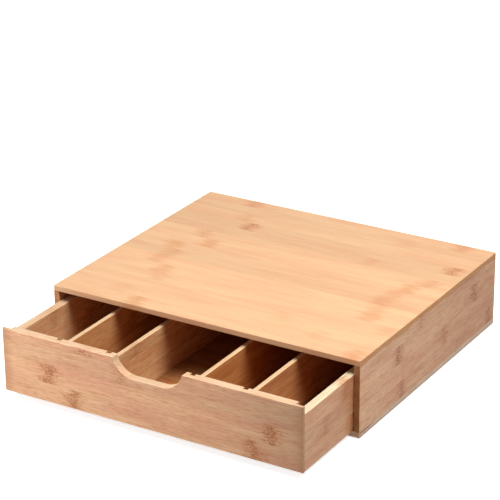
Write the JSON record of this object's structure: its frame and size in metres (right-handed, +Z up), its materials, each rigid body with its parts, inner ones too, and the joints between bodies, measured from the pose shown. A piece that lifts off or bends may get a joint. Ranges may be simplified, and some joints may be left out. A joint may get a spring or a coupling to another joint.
{
  "type": "coffee pod drawer",
  "caption": "Bamboo storage drawer: a flat casing that carries an appliance on its top, with a wide divided drawer for coffee pods and a finger scoop in its front.",
  "frame": {"origin": "centre of the casing's footprint, in the plane that the pads stand on", "axes": "+X to the right as seen from the front, +Y from the front of the casing to its back, so the drawer opens along -Y, +Z up"},
  "size_m": [0.35, 0.393, 0.0825],
  "materials": {
    "casing_bamboo": "carbonised laminated bamboo, satin lacquer",
    "front_bamboo": "carbonised laminated bamboo, satin lacquer",
    "drawer_bamboo": "carbonised laminated bamboo, satin lacquer",
    "pad_rubber": "matte black rubber"
  },
  "bodies": {
    "casing": {"top_panel": "casing_bamboo", "base_panel": "casing_bamboo", "side_panel_left": "casing_bamboo", "side_panel_right": "casing_bamboo", "back_panel": "casing_bamboo", "pad_front_left": "pad_rubber", "pad_front_right": "pad_rubber", "pad_back_left": "pad_rubber", "pad_back_right": "pad_rubber"},
    "drawer": {"drawer_front": "front_bamboo", "drawer_side_left": "drawer_bamboo", "drawer_side_right": "drawer_bamboo", "drawer_back": "drawer_bamboo", "drawer_floor": "drawer_bamboo", "divider_1": "drawer_bamboo", "divider_2": "drawer_bamboo", "divider_3": "drawer_bamboo", "divider_4": "drawer_bamboo"}
  },
  "joints": [
    {"name": "drawer_slide", "type": "slide", "parent": "casing", "child": "drawer", "axis": [0, -1, 0], "range_m": [-0.095, 0.145]}
  ]
}
